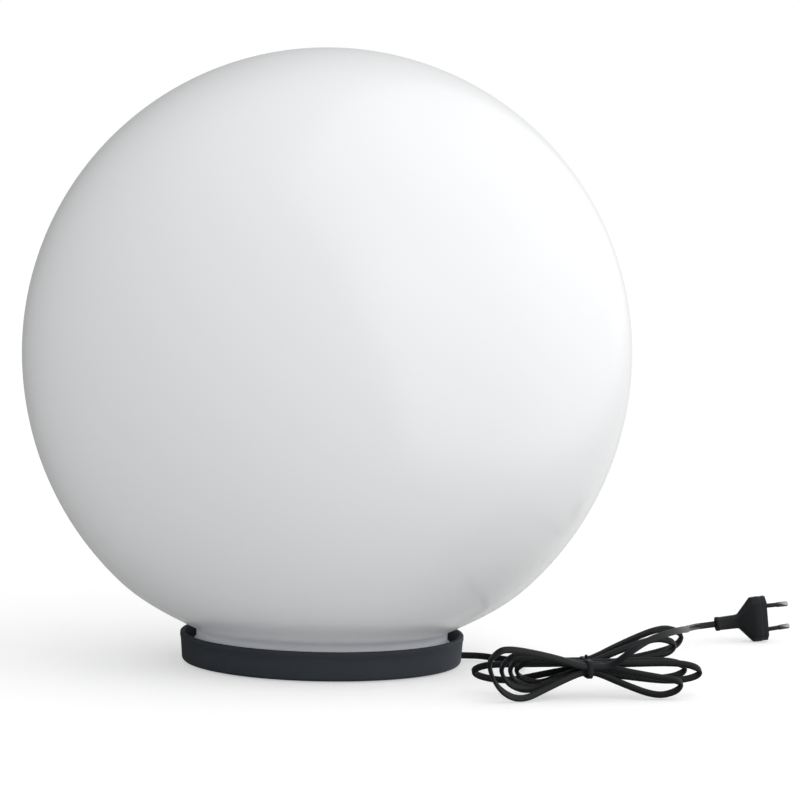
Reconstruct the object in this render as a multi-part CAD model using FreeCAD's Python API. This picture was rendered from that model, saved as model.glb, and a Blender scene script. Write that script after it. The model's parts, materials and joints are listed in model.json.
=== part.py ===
"""Garden globe light: an opal globe on a dark dish, with its lamp holder, bulb, flat lead and plug.

Millimetres. Origin on the floor under the middle of the dish, +Z up, +X towards the side where the
lead comes out, and the object is seen looking along +Y.
"""
import FreeCAD, Part
import math
import os

os.makedirs("parts", exist_ok=True)
Vec = FreeCAD.Vector
UP = Vec(0, 0, 1)

# ---- driving dimensions ------------------------------------------------------------------------
globe_d = 450.0          # outside diameter of the globe
globe_wall = 3.0
neck_d = 186.4           # outside diameter of the globe's neck
neck_len = 13.4          # from the neck's edge to where the ball would begin
neck_fillet = 5.5        # hollow curve between neck and ball

neck_room = 8.75         # between the neck and the wall of the dish
ring_h = 21.7            # dish, from its lower edge to its rim
ring_wall = 3.0
ring_draft = 1.7         # how much smaller the dish's radius is at its foot
ring_foot_r = 3.0        # rounding at the foot of the dish's wall
ring_foot_wall = 4.6
bead_h = 4.0
bead_proud = 0.35
floor_t = 2.5            # plate of the dish
cavity_h = 6.7           # hollow under that plate
rib_t = 2.0
rib_count = 8
foot_count = 4
foot_d = 12.0
foot_proud = 0.8         # how far the feet stand out below the dish
foot_depth = 2.7         # how deep a foot sits in its boss
foot_inset = 21.3        # from the dish's bead to the middle of a foot
boss_wall = 2.0

collar_t = 2.0           # wall inside the neck that centres the globe
collar_h = 21.0
collar_gap = 1.5         # between that wall and the neck
collar_foot_w = 2.4      # flange by which the collar is screwed down
collar_foot_t = 2.0
seal_t = 1.6             # rubber ring under the neck's edge
seal_lip_h = 4.0
seal_gap = 0.3           # between the neck and the rubber
seat_gap = 0.2           # between the rubber and the dish
clip_count = 3
clip_t = 0.5
clip_w_deg = 9.0         # width of a spring clip, as an angle
clip_gap = 0.3           # left between a clip and the neck

riser_base_d = 66.0      # stand under the lamp holder
riser_top_d = 40.0
riser_h = 34.0
riser_wall = 2.2
riser_flange_d = 80.0
riser_flange_t = 2.5
gusset_count = 4
gusset_t = 2.4
nipple_d = 10.0
nipple_bore = 6.8
nipple_len = 18.0
nut_across = 14.0        # across the flats
nut_t = 3.5
fit = 0.05               # radial clearance of the fixed round fits

holder_wall = 3.2
holder_room = 1.4        # between the block's socket and the holder's wall
holder_cap_h = 20.0
holder_shell_h = 38.0
holder_lip_room = 1.2    # between the threaded sleeve and the holder's mouth
holder_lip_t = 2.0
flute_count = 20
block_t = 6.0            # insulating block in the lamp holder
block_rise = 2.0
block_fit = 0.1          # radial clearance of the block in its holder, and of the sleeve in it
socket_wall = 2.0
socket_rim_h = 8.0
sleeve_wall = 0.5        # threaded sleeve of the lamp holder
sleeve_len = 26.0
thread_fit = 0.1         # radial clearance between bulb and sleeve
tongue_t = 0.6           # spring tongue under the bulb
tongue_w = 6.0
tongue_rise = 2.4
tongue_gap = 0.2
terminal_x = 8.0
terminal_w = 6.0
terminal_h = 6.0

bulb_cap_d = 26.4        # screw cap of the bulb
bulb_cap_h = 22.2
bulb_cap_wall = 0.5
bulb_tip_d = 8.4
bulb_tip_h = 1.6
bulb_glass_h = 3.5
bulb_d = 60.0
bulb_body_h = 39.5
bulb_dome_h = 40.0
dome_wall = 1.2
board_inset = 6.0        # between the board's edge and the outside of the body
board_t = 1.6
led_count = 10
led_size = 3.5
led_h = 0.8
led_inset = 7.0          # from the board's edge to the middle of an emitter

cord_d = 4.1             # a round tube with the section of the flat lead, 4.9 by 3.2
core_d = 1.8
core_x = 1.1             # how far each core lies from the lead's axis
cord_angle = 8.0         # degrees from +X to where the lead leaves the dish
cord_floor_z = 4.4       # axis of the lead where it leaves the dish
clamp_x = 45.0
clamp_len = 26.0
clamp_w = 9.0
clamp_t = 2.0
clamp_boss_d = 6.4
channel_half = 3.6       # half width of the channel for the lead under the dish
channel_wall = 1.6
notch_h = 6.2
channel_start = 22.0     # where the channel's rails begin
slot_end = 23.5          # slot in the plate, through which the lead rises
cord_rise = 2.0          # how far the lead stops below the nipple's upper end
core_rise = 4.0          # cores run side by side this far before they part

plug_w = 35.3            # flat plug with two round pins
plug_t = 13.7
plug_len = 40.7
plug_head_len = 11.7
plug_neck_len = 18.5
plug_neck_w = 10.6
plug_neck_t = 8.0
plug_neck_edge = 2.2
plug_hole = 8.0          # how deep a pin sits in the plug
plug_edge = 4.6          # slope along the plug's long edges
plug_taper = 0.6         # how much narrower the head is at its rear
plug_yaw = 12.0
plug_pitch = 6.5
pin_d = 4.0
pin_len = 19.0
sleeve_d = 3.4           # black sleeve on the rear half of a pin
pin_sleeve_len = 10.0
pin_gap_base = 18.6
pin_gap_tip = 17.5

# ---- levels ------------------------------------------------------------------------------------
dish_z = foot_proud
plate_z = dish_z + cavity_h
floor_z = plate_z + floor_t
rim_z = dish_z + ring_h
seal_z = floor_z + seat_gap
neck_z = seal_z + seal_t + seal_gap
globe_r = globe_d / 2
neck_r = neck_d / 2
neck_in_r = neck_r - globe_wall
ball_z = neck_z + neck_len + math.sqrt(globe_r ** 2 - neck_r ** 2)
ring_r = neck_r + neck_room + ring_wall + bead_proud
foot_circle_r = ring_r - foot_inset
collar_r = neck_in_r - collar_gap
sleeve_r = bulb_cap_d / 2 + thread_fit + sleeve_wall
socket_r = sleeve_r + block_fit + socket_wall
holder_r = socket_r + holder_room + holder_wall
board_r = bulb_d / 2 - board_inset
riser_z = floor_z + riser_h
cap_top_z = riser_z + holder_cap_h
shell_top_z = cap_top_z + holder_shell_h
block_z = cap_top_z + block_rise
sleeve_z = block_z + block_t
tip_z = sleeve_z + tongue_t + tongue_rise + tongue_gap
nipple_z = riser_z - nipple_len / 2 + 1.5
cord_turn = math.radians(cord_angle)
OUT = Vec(math.cos(cord_turn), math.sin(cord_turn), 0)
ACROSS = Vec(-OUT.y, OUT.x, 0)


def export(name, shape):
    """Write one piece, and say how large it is."""
    shape.exportStep("parts/%s.step" % name)
    print("%-16s %10.1f mm3  valid %s  solids %d" % (name, shape.Volume, shape.isValid(), len(shape.Solids)))


def flat(points):
    """A closed face in the XZ plane from (r, z) corners."""
    corners = [Vec(r, 0, z) for r, z in points]
    return Part.Face(Part.makePolygon(corners + corners[:1]))


def turned(points, angle=360):
    """A solid of revolution about Z from (r, z) corners."""
    return flat(points).revolve(Vec(), UP, angle)


def around(shape, angle):
    """A copy turned about Z."""
    copy = shape.copy()
    copy.rotate(Vec(), UP, angle)
    return copy


def column(radius, z_low, z_high, x=0.0, y=0.0):
    return Part.makeCylinder(radius, z_high - z_low, Vec(x, y, z_low))


def slab(x_low, x_high, y_low, y_high, z_low, z_high):
    return Part.makeBox(x_high - x_low, y_high - y_low, z_high - z_low, Vec(x_low, y_low, z_low))


def edges_at(shape, test):
    """The edges whose every corner passes the test."""
    return [edge for edge in shape.Edges if all(test(v.Point) for v in edge.Vertexes)]


def edges_along(shape, way):
    """The straight edges that run along a direction."""
    return [edge for edge in shape.Edges if abs(edge.tangentAt(edge.FirstParameter).dot(way)) > 0.99]


# ---- globe -------------------------------------------------------------------------------------
def globe_arc(radius, corner_r):
    """Where a ball of this radius meets the curve at the neck, and that curve's middle."""
    middle_r = neck_r + neck_fillet
    rise = math.sqrt((globe_r + neck_fillet) ** 2 - middle_r ** 2)
    middle = Vec(middle_r, 0, ball_z - rise)
    ball = Vec(0, 0, ball_z)
    out = (middle - ball).normalize()
    meet = ball + out * radius
    low_side = (meet - middle).normalize() + Vec(-1, 0, 0)
    return meet, middle + low_side.normalize() * corner_r, middle


def globe():
    meet, bend, middle = globe_arc(globe_r, neck_fillet)
    inner_r = globe_r - globe_wall
    in_meet, in_bend, _ = globe_arc(inner_r, neck_fillet + globe_wall)
    top = Vec(0, 0, ball_z + globe_r)
    in_top = Vec(0, 0, ball_z + inner_r)
    side = Vec(globe_r, 0, ball_z)
    in_side = Vec(inner_r, 0, ball_z)
    outline = [
        Part.Arc(top, side, meet).toShape(),
        Part.Arc(meet, bend, Vec(neck_r, 0, middle.z)).toShape(),
        Part.makeLine(Vec(neck_r, 0, middle.z), Vec(neck_r, 0, neck_z)),
        Part.makeLine(Vec(neck_r, 0, neck_z), Vec(neck_in_r, 0, neck_z)),
        Part.makeLine(Vec(neck_in_r, 0, neck_z), Vec(neck_in_r, 0, middle.z)),
        Part.Arc(Vec(neck_in_r, 0, middle.z), in_bend, in_meet).toShape(),
        Part.Arc(in_meet, in_side, in_top).toShape(),
        Part.makeLine(in_top, top),
    ]
    return Part.Face(Part.Wire(outline)).revolve(Vec(), UP, 360)


def neck_seal():
    """Rubber ring that the neck's edge stands in, with a lip round its outside."""
    outer = neck_r + seal_gap + seal_t
    lip_z = neck_z + seal_lip_h
    return turned([
        (neck_in_r, seal_z), (outer, seal_z), (outer, lip_z), (neck_r + seal_gap, lip_z),
        (neck_r + seal_gap, neck_z - seal_gap), (neck_in_r, neck_z - seal_gap),
    ])


# ---- dish --------------------------------------------------------------------------------------
def dish_shell():
    """Wall and plate as one turned piece."""
    bead_z = rim_z - bead_h
    wall_r = ring_r - bead_proud
    foot_r = ring_r - ring_draft
    inner_foot_r = foot_r - ring_foot_wall
    inside = wall_r - ring_wall
    body = turned([
        (0, plate_z), (inner_foot_r, plate_z), (inner_foot_r, dish_z), (foot_r, dish_z),
        (wall_r, bead_z), (ring_r, bead_z + bead_proud), (ring_r, rim_z), (inside, rim_z),
        (inside - 0.6, floor_z), (0, floor_z),
    ])
    def at(point, r, z):
        return abs(math.hypot(point.x, point.y) - r) < 0.01 and abs(point.z - z) < 0.01

    body = body.makeFillet(ring_foot_r, edges_at(body, lambda p: at(p, foot_r, dish_z)))
    body = body.makeFillet(ring_wall * 0.4, edges_at(body, lambda p: at(p, ring_r, rim_z)))
    return body.makeFillet(1.0, edges_at(body, lambda p: at(p, inside, rim_z)))


def collar():
    """Ring on the plate that centres the neck and carries the spring clips."""
    inner = collar_r - collar_t
    foot_z = floor_z + collar_foot_t
    return turned([
        (inner - collar_foot_w, floor_z), (collar_r, floor_z), (collar_r, floor_z + collar_h),
        (inner, floor_z + collar_h), (inner, foot_z), (inner - collar_foot_w, foot_z),
    ])


def dish_underside():
    """Ribs, hub, foot bosses and the lead's channel, hanging from the plate."""
    low = dish_z + 1.0
    outer = ring_r - ring_draft - ring_foot_wall + 0.5
    hub_r = riser_flange_d / 2
    hub = column(hub_r, low, plate_z).cut(column(hub_r - rib_t, low, plate_z))
    middle_r = (outer + hub_r) / 2 - 4
    hoop = column(middle_r, low, plate_z).cut(column(middle_r - rib_t, low, plate_z))
    pieces = [hub, hoop]
    for k in range(rib_count):
        rib = slab(hub_r - rib_t / 2, outer, -rib_t / 2, rib_t / 2, low, plate_z)
        pieces.append(around(rib, cord_angle + 360.0 * (k + 0.5) / rib_count))
    for angle in foot_angles():
        boss = column(foot_d / 2 + boss_wall, low, plate_z, foot_circle_r)
        pieces.append(around(boss, angle))
    wall_low = cord_floor_z + 0.2
    for side in (-1, 1):
        near = side * channel_half
        far = side * (channel_half + channel_wall)
        rail = slab(channel_start, outer, min(near, far), max(near, far), wall_low, plate_z)
        pieces.append(around(rail, cord_angle))
        screw_boss = column(clamp_boss_d / 2, clamp_top(), plate_z, clamp_x, side * clamp_boss_y())
        pieces.append(around(screw_boss, cord_angle))
    return pieces


def foot_angles():
    return [cord_angle + 360.0 * (k + 0.5) / foot_count for k in range(foot_count)]


def clamp_boss_y():
    return clamp_len / 2 - clamp_boss_d / 2 - 0.3


def inner_cord_z():
    """Axis of the lead where the clamp holds it against the plate."""
    return plate_z - 0.25 - cord_d / 2


def clamp_top():
    return inner_cord_z() - cord_d / 2 - 0.05


def base_dish():
    body = dish_shell().fuse(dish_underside()).removeSplitter()
    notch = slab(foot_circle_r, ring_r + 5, -channel_half, channel_half, dish_z - 1, dish_z + notch_h)
    channel = slab(channel_start - 1, foot_circle_r, -channel_half, channel_half, dish_z - 1, plate_z)
    slot = slab(-channel_half, slot_end, -channel_half, channel_half, plate_z - 1, floor_z + 1)
    cuts = [around(notch, cord_angle), around(channel, cord_angle), around(slot, cord_angle)]
    clamp_room = slab(clamp_x - clamp_w / 2 - 1, clamp_x + clamp_w / 2 + 1, -clamp_len / 2 - 1,
                      clamp_len / 2 + 1, dish_z - 1, clamp_top())
    cuts.append(around(clamp_room, cord_angle))
    for angle in foot_angles():
        pocket = column(foot_d / 2 + 2 * fit, dish_z - 1, foot_top(), foot_circle_r)
        cuts.append(around(pocket, angle))
    return body.cut(cuts)


def foot_top():
    return dish_z + 1.0 + foot_depth


def rubber_foot(angle):
    foot = column(foot_d / 2, 0, foot_top(), foot_circle_r)
    foot = foot.makeChamfer(0.6, edges_at(foot, lambda p: p.z < 0.01))
    return around(foot, angle)


def spring_clip(angle):
    """Leaf hooked over the collar: its outer leg bulges towards the neck and holds it."""
    top = floor_z + collar_h + clip_gap
    inner = collar_r - collar_t - fit - clip_t
    outer = neck_in_r - clip_gap
    low = floor_z + collar_h * 0.3
    bulge_z = floor_z + collar_h * 0.62
    leaf = turned([
        (inner, low), (inner + clip_t, low), (inner + clip_t, top), (collar_r + 0.3, top),
        (outer - clip_t, bulge_z), (collar_r + 0.2, low), (collar_r + 0.2 + clip_t, low),
        (outer, bulge_z), (collar_r + 0.3 + clip_t, top + clip_t), (inner, top + clip_t),
    ], clip_w_deg)
    return around(leaf, angle - clip_w_deg / 2)


# ---- stand and lamp holder ---------------------------------------------------------------------
def holder_riser():
    base = riser_base_d / 2
    top = riser_top_d / 2
    flange_z = floor_z + riser_flange_t
    wall = riser_wall
    body = turned([
        (base - wall, floor_z), (riser_flange_d / 2, floor_z), (riser_flange_d / 2, flange_z),
        (base, flange_z), (top, riser_z), (nipple_d / 2 + fit, riser_z),
        (nipple_d / 2 + fit, riser_z - wall - 0.8), (top - wall, riser_z - wall - 0.8),
    ])
    ear = riser_flange_d / 2 - 1
    web = flat([(base - wall / 2, flange_z - 0.5), (ear, flange_z - 0.5), (ear, flange_z),
                (top - wall / 2, riser_z - 8), (base - wall, flange_z)])
    web = web.extrude(Vec(0, gusset_t, 0))
    web.translate(Vec(0, -gusset_t / 2, 0))
    webs = [around(web, cord_angle + 360.0 * (k + 0.5) / gusset_count) for k in range(gusset_count)]
    inside = turned([(0, floor_z), (base - wall, floor_z), (top - wall, riser_z - wall - 0.8),
                     (0, riser_z - wall - 0.8)])
    return body.fuse([w.cut(inside) for w in webs]).removeSplitter()


def nipple():
    return turned([
        (nipple_bore / 2, nipple_z), (nipple_d / 2, nipple_z),
        (nipple_d / 2, nipple_z + nipple_len), (nipple_bore / 2, nipple_z + nipple_len),
    ])


def locknut():
    under = riser_z - riser_wall - 0.8
    corner = nut_across / 2 / math.cos(math.pi / 6)
    points = [Vec(corner * math.cos(math.radians(a)), corner * math.sin(math.radians(a)), under - nut_t)
              for a in range(0, 361, 60)]
    body = Part.Face(Part.makePolygon(points)).extrude(Vec(0, 0, nut_t))
    return body.cut(column(nipple_d / 2 + fit, under - nut_t - 1, under + 1))


def holder_cap():
    """Lower half of the lamp holder, screwed onto the nipple."""
    r = holder_r
    inner = r - holder_wall + 1
    z = riser_z
    return turned([
        (nipple_d / 2 + fit, z), (r * 0.62, z), (r * 0.8, z + 5), (r * 0.95, z + 12), (r, z + 15),
        (r, cap_top_z), (inner, cap_top_z), (inner, z + 14), (r * 0.72, z + 8),
        (r * 0.5, z + 3), (nipple_d / 2 + fit, z + 3),
    ])


def holder_shell():
    r = holder_r
    inner = r - holder_wall
    lip_r = sleeve_r + holder_lip_room
    lip_z = shell_top_z - holder_lip_t
    body = turned([
        (inner, cap_top_z), (r, cap_top_z), (r, shell_top_z - 1), (r - 1, shell_top_z),
        (lip_r, shell_top_z), (lip_r, lip_z), (inner, lip_z),
    ])
    flute = column(1.3, cap_top_z + 6, shell_top_z - 6, r + 0.7)
    return body.cut([around(flute, 360.0 * k / flute_count) for k in range(flute_count)])


def contact_block():
    """Insulating block with a raised socket that holds the threaded sleeve."""
    r = holder_r - holder_wall - block_fit
    socket = sleeve_r + block_fit
    return turned([
        (0, block_z), (r, block_z), (r, sleeve_z), (socket_r, sleeve_z),
        (socket_r, sleeve_z + socket_rim_h), (socket, sleeve_z + socket_rim_h),
        (socket, sleeve_z), (0, sleeve_z),
    ])


def thread_sleeve():
    top = sleeve_z + sleeve_len
    inner = sleeve_r - sleeve_wall
    return turned([(inner, sleeve_z), (sleeve_r, sleeve_z), (sleeve_r, top), (inner, top)])


def centre_contact():
    """Spring tongue that presses up against the bulb's tip."""
    z = sleeve_z
    t = tongue_t
    rise = tongue_rise
    strip = flat([(-10, z), (-3, z), (0.5, z + rise), (4.5, z + rise), (4.5, z + rise + t),
                  (0.1, z + rise + t), (-3.4, z + t), (-10, z + t)])
    strip = strip.extrude(Vec(0, tongue_w, 0))
    strip.translate(Vec(-1.0, -tongue_w / 2, 0))
    return strip


def terminal(side):
    """Brass block under the insulating block, with a hole for its core."""
    x = side * terminal_x
    half = terminal_w / 2
    low = block_z - terminal_h
    body = slab(x - half, x + half, -half, half, low, block_z)
    return body.cut(column(core_d / 2 + 0.2, low - 1, low + 4, x))


# ---- bulb --------------------------------------------------------------------------------------
def bulb_levels():
    """Heights of the bulb's tip, glass, cap, body and dome, from below."""
    glass = tip_z + bulb_tip_h
    cap = glass + bulb_glass_h
    body = cap + bulb_cap_h
    return glass, cap, body, body + bulb_body_h


def bulb_contact():
    glass = bulb_levels()[0]
    r = bulb_tip_d / 2
    return turned([(0, tip_z), (r * 0.6, tip_z), (r, tip_z + bulb_tip_h * 0.6), (r, glass), (0, glass)])


def bulb_insulator():
    glass, cap, _, _ = bulb_levels()
    gap = 0.05
    return turned([(0, glass + gap), (bulb_tip_d / 2 + 0.8, glass + gap), (bulb_cap_d / 2 - 2.2, cap), (0, cap)])


def bulb_cap():
    _, cap, body, _ = bulb_levels()
    r = bulb_cap_d / 2
    t = bulb_cap_wall
    return turned([
        (0, cap), (r - 2.2, cap), (r, cap + 2.4), (r, body), (r - t, body), (r - t, cap + 2.8),
        (r - 2.6, cap + t), (0, cap + t),
    ])


def bulb_housing():
    _, cap, body, rim = bulb_levels()
    r = bulb_d / 2
    spigot = bulb_cap_d / 2 - bulb_cap_wall - fit
    foot_r = bulb_cap_d / 2 + 1.0
    return turned([
        (0, cap + 8), (spigot, cap + 8), (spigot, body + 0.1), (foot_r, body + 0.1),
        (foot_r + 1.2, body + 7), (r - 9, body + 16), (r - 2.4, body + 30), (r - 0.6, rim), (0, rim),
    ])


def bulb_board():
    rim = bulb_levels()[3]
    top = rim + board_t
    body = column(board_r, rim, top)
    half = led_size / 2
    led_r = board_r - led_inset
    led = slab(led_r - half, led_r + half, -half, half, top, top + led_h)
    return body.fuse([around(led, 360.0 * k / led_count) for k in range(led_count)])


def bulb_dome():
    rim = bulb_levels()[3]
    r = bulb_d / 2
    lift = bulb_dome_h - r

    def arc(radius):
        low = Vec(math.sqrt(radius ** 2 - lift ** 2), 0, rim)
        centre = Vec(0, 0, rim + lift)
        side = centre + Vec(radius, 0, 0)
        return low, side, centre + Vec(0, 0, radius)

    low, side, top = arc(r)
    in_low, in_side, in_top = arc(r - dome_wall)
    outline = [
        Part.Arc(low, side, top).toShape(), Part.makeLine(top, in_top),
        Part.Arc(in_top, in_side, in_low).toShape(), Part.makeLine(in_low, low),
    ]
    return Part.Face(Part.Wire(outline)).revolve(Vec(), UP, 360)


# ---- lead, hank, tail and plug -----------------------------------------------------------------
hank_place = Vec(187.6, -150.0, 22.0)    # middle of the tie
hank_turn = 12.0         # degrees the hank is turned from +X
hank_half = 5.0          # straight stretch on each side of the tie
hank_step = 3.9          # between neighbouring sheets of loops, at the tie
hank_fan = 6.0           # degrees by which each sheet opens from the next
hank_stagger = 1.85      # every other sheet lies this much higher or lower
hank_row = 3.55          # half the height between the two strands of a sheet
hank_shoulder = 0.74     # where a loop is widest, as a share of its reach
tie_w = 4.0
tie_t = 0.8
tie_gap = 0.3
tie_twist_h = 5.0
tie_twist_w = 2.4
# each loop: how far it reaches, and the heights of its tip and of its upper and lower strands
right_loops = [(78, 16.5, 22.5, 7.5), (69, 12.5, 17, 5.5), (74, -3, 2.5, -8.5),
               (81.5, -3.5, 2.2, -8.8), (65, -10.5, -7, -18)]
left_loops = [(75.5, -5.5, -0.5, -11.5), (48, -3, 2.5, -11.5), (55, -1.5, 7, -13.5),
              (64, 0.5, 9.5, -13.5), (76, 7, 15, -18)]
ALONG = Vec(math.cos(math.radians(hank_turn)), math.sin(math.radians(hank_turn)), 0)
BACK = Vec(-ALONG.y, ALONG.x, 0)
cord_r = cord_d / 2


def hank_point(x, sheet, z):
    """A point of the hank: sheets stand one behind the other and open away from the tie."""
    order = len(right_loops) / 2 - sheet
    depth = order * (hank_step + abs(x) * math.tan(math.radians(hank_fan)))
    return hank_place + ALONG * x + BACK * depth + UP * z


def loop_stations(side, size, sheets):
    """Upper strand, tip and lower strand of one loop, each with its direction."""
    reach, tip, top, low = size
    wide = reach * hank_shoulder
    upper = hank_point(side * wide, sheets[0], top)
    end = hank_point(side * reach, (sheets[0] + sheets[1]) / 2, tip)
    lower = hank_point(side * wide, sheets[1], low)
    out = (end - (upper + lower) * 0.5).normalize()
    down = lower - upper
    down = (down - out * down.dot(out)).normalize()
    return [(upper, out), (end, down), (lower, -out)]


def hank_stations():
    """Every point that the hank's centre line passes, from the lead to the tail."""
    stations = []
    for sheet in range(len(right_loops) + 1):
        lift = hank_stagger if sheet % 2 == 0 else -hank_stagger
        for x in (-hank_half, hank_half):
            stations.append((hank_point(x, sheet, lift + hank_row), ALONG))
        if sheet == len(right_loops):
            break
        stations += loop_stations(1, right_loops[sheet], (sheet, sheet))
        for x in (hank_half, -hank_half):
            stations.append((hank_point(x, sheet, lift - hank_row), -ALONG))
        back = loop_stations(-1, left_loops[sheet], (sheet + 1, sheet))
        stations += [(point, -way) for point, way in reversed(back)]
    return stations


def biarc(start, way, end, end_way):
    """The point where two arcs, tangent to each other and to both ends, meet, and their direction."""
    gap = end - start
    a = 2 * (1 - way.dot(end_way))
    b = 2 * gap.dot(way + end_way)
    c = -gap.dot(gap)
    reach = -c / b if a < 1e-9 else (-b + math.sqrt(b * b - 4 * a * c)) / (2 * a)
    first = start + way * reach
    second = end - end_way * reach
    return (first + second) * 0.5, (second - first).normalize()


def arc_point(start, way, end, share):
    """A point part of the way round the arc that leaves start along way and stops at end."""
    chord = end - start
    along = chord.dot(way)
    side = chord - way * along
    if side.Length < 1e-4:
        return start + chord * share
    radius = chord.dot(chord) / (2 * side.Length)
    turn = 2 * math.atan2(side.Length, along) * share
    return start + way * (radius * math.sin(turn)) + side.normalize() * (radius * (1 - math.cos(turn)))


def hank_arcs():
    """(start, direction, end) of every arc of the hank."""
    arcs = []
    stations = hank_stations()
    for (start, way), (end, end_way) in zip(stations, stations[1:]):
        joint, joint_way = biarc(start, way, end, end_way)
        arcs += [(start, way, joint), (joint, joint_way, end)]
    return arcs


def bend(points):
    """Edges of straight runs joined by tangent arcs as large as the runs allow, and the radii."""
    edges = []
    radii = []
    last = points[0]
    for before, corner, after in zip(points, points[1:], points[2:]):
        back = (before - corner).normalize()
        on = (after - corner).normalize()
        half_turn = (math.pi - back.getAngle(on)) / 2
        cut = 0.45 * min((before - corner).Length, (after - corner).Length)
        radius = cut / math.tan(half_turn)
        middle = corner + (back + on).normalize() * (radius / math.cos(half_turn) - radius)
        edges.append(Part.LineSegment(last, corner + back * cut).toShape())
        edges.append(Part.Arc(corner + back * cut, middle, corner + on * cut).toShape())
        radii.append(radius)
        last = corner + on * cut
    edges.append(Part.LineSegment(last, points[-1]).toShape())
    return edges, radii


def tube(edges, way, radius):
    """A round tube along the edges."""
    path = Part.Wire(edges)
    start = edges[0].Vertexes[0].Point
    ring = Part.Wire(Part.Circle(start, way, radius).toShape())
    shell = Part.BRepOffsetAPI.MakePipeShell(path)
    shell.add(ring)
    shell.build()
    shell.makeSolid()
    body = shell.shape()
    ideal = math.pi * radius ** 2 * path.Length
    print("tube length %.1f volume over ideal %.4f" % (path.Length, body.Volume / ideal))
    return body


def cord(points, radius=cord_r):
    edges, radii = bend(points)
    print("radii", [round(r, 1) for r in radii])
    return tube(edges, points[1] - points[0], radius)


def cord_hank():
    arcs = hank_arcs()
    edges = []
    for start, way, end in arcs:
        middle = arc_point(start, way, end, 0.5)
        straight = middle.distanceToLine(start, end - start) < 1e-3
        edge = Part.LineSegment(start, end) if straight else Part.Arc(start, middle, end)
        edges.append(edge.toShape())
    body = tube(edges, ALONG, cord_r)
    print("hank gap %.2f" % least_gap(arcs))
    return body


def least_gap(arcs):
    """Least clear distance from the hank to itself, on points 1.5 mm apart."""
    line = []
    for start, way, end in arcs:
        count = max(2, int((end - start).Length / 1.5))
        line += [arc_point(start, way, end, k / count) for k in range(count)]
    far = int(3.5 * cord_d / 1.5)
    least = min(
        (line[i] - line[j]).Length for i in range(len(line)) for j in range(i + far, len(line))
    )
    return least - cord_d


def hank_ends():
    stations = hank_stations()
    return stations[0][0], stations[-1][0]


def lead_points():
    """From the dish over the floor to the tie, which it reaches from behind."""
    leave = OUT * ring_r + UP * cord_floor_z
    first = hank_ends()[0]
    return [
        leave, leave + OUT * 12.0, Vec(131, 14, 2.9), Vec(143, 6.5, 2.6), Vec(149.5, -7, 3.2),
        Vec(151.5, -30, 6), Vec(148.5, -57, 11), Vec(143.5, -84, 16.5), Vec(142, -109, 21.5),
        Vec(147.6, -130, 25.2), Vec(156, -138.9, 26.8), first - ALONG * 12.5, first,
    ]


def tail_points():
    """From the tie over the right-hand loops, and back along the floor to the plug."""
    last = hank_ends()[1]
    return [
        last, last + ALONG * 10.5, Vec(219, -159, 28.5), Vec(236, -153, 38), Vec(250, -144, 44),
        Vec(258, -128, 48), Vec(262.5, -97, 45), Vec(265, -60, 38.5), Vec(267, -20, 32),
        Vec(268.5, 20, 26), Vec(269.5, 58, 20.4), Vec(270.8, 94.4, 15.5), Vec(276.3, 118.6, 12.6),
        Vec(283.1, 129.1, 12.6), plug_rear - plug_way * 12.5, plug_rear,
    ]


def hank_tie():
    """Twisted wire tie: a flat band round the bundle, and its two ends twisted on top."""
    sheets = len(right_loops) + 1
    opened = hank_step + hank_half * math.tan(math.radians(hank_fan))
    half_depth = (sheets - 1) / 2 * opened + cord_r + tie_gap
    half_height = hank_row + hank_stagger + cord_r + tie_gap
    outer = Part.makeBox(tie_w, 2 * (half_depth + tie_t), 2 * (half_height + tie_t))
    outer.translate(Vec(-tie_w / 2, -half_depth - tie_t, -half_height - tie_t))
    inner = Part.makeBox(tie_w + 2, 2 * half_depth, 2 * half_height)
    inner.translate(Vec(-tie_w / 2 - 1, -half_depth, -half_height))
    outer = outer.makeFillet(cord_r + tie_t, edges_along(outer, Vec(1, 0, 0)))
    inner = inner.makeFillet(cord_r, edges_along(inner, Vec(1, 0, 0)))
    body = outer.cut(inner)
    foot = half_height + tie_t - 0.2
    twist = Part.makeBox(tie_twist_w, tie_t, tie_twist_h + 0.2, Vec(-tie_twist_w / 2, -tie_t / 2, foot))
    body = body.fuse(twist)
    body.rotate(Vec(), UP, hank_turn)
    body.translate(hank_place)
    return body


# The plug stands on the edge of its head, its pins away from the lead and tipped up a little.
yaw = math.radians(plug_yaw)
pitch = math.radians(plug_pitch)
plug_way = Vec(math.cos(yaw) * math.cos(pitch), math.sin(yaw) * math.cos(pitch), math.sin(pitch))
plug_up = Vec(-math.cos(yaw) * math.sin(pitch), -math.sin(yaw) * math.sin(pitch), math.cos(pitch))
plug_heel = Vec(335.7, 145.3, 0.1)       # where the lower edge of the plug's head rests
plug_face = plug_heel + plug_way * plug_head_len + plug_up * ((plug_w - plug_taper) / 2)
plug_rear = plug_face - plug_way * plug_len
plug_side = plug_up.cross(plug_way)


def placed(shape):
    """Move a shape from the plug's own axes (X along it, Z across its width) to its place."""
    matrix = FreeCAD.Matrix(
        plug_way.x, plug_side.x, plug_up.x, plug_face.x,
        plug_way.y, plug_side.y, plug_up.y, plug_face.y,
        plug_way.z, plug_side.z, plug_up.z, plug_face.z, 0, 0, 0, 1)
    moved = shape.copy()
    moved.Placement = FreeCAD.Placement(matrix).multiply(moved.Placement)
    return moved


def plug_section(x, width, thick, edge):
    """An eight-sided section across the plug: flat sides, and edges sloped by 45 degrees."""
    w = width / 2
    t = thick / 2
    inner = t - edge
    points = [(t, -w + edge), (t, w - edge), (inner, w), (-inner, w), (-t, w - edge), (-t, -w + edge),
              (-inner, -w), (inner, -w)]
    corners = [Vec(x, y, z) for y, z in points]
    return Part.makePolygon(corners + corners[:1])


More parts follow.
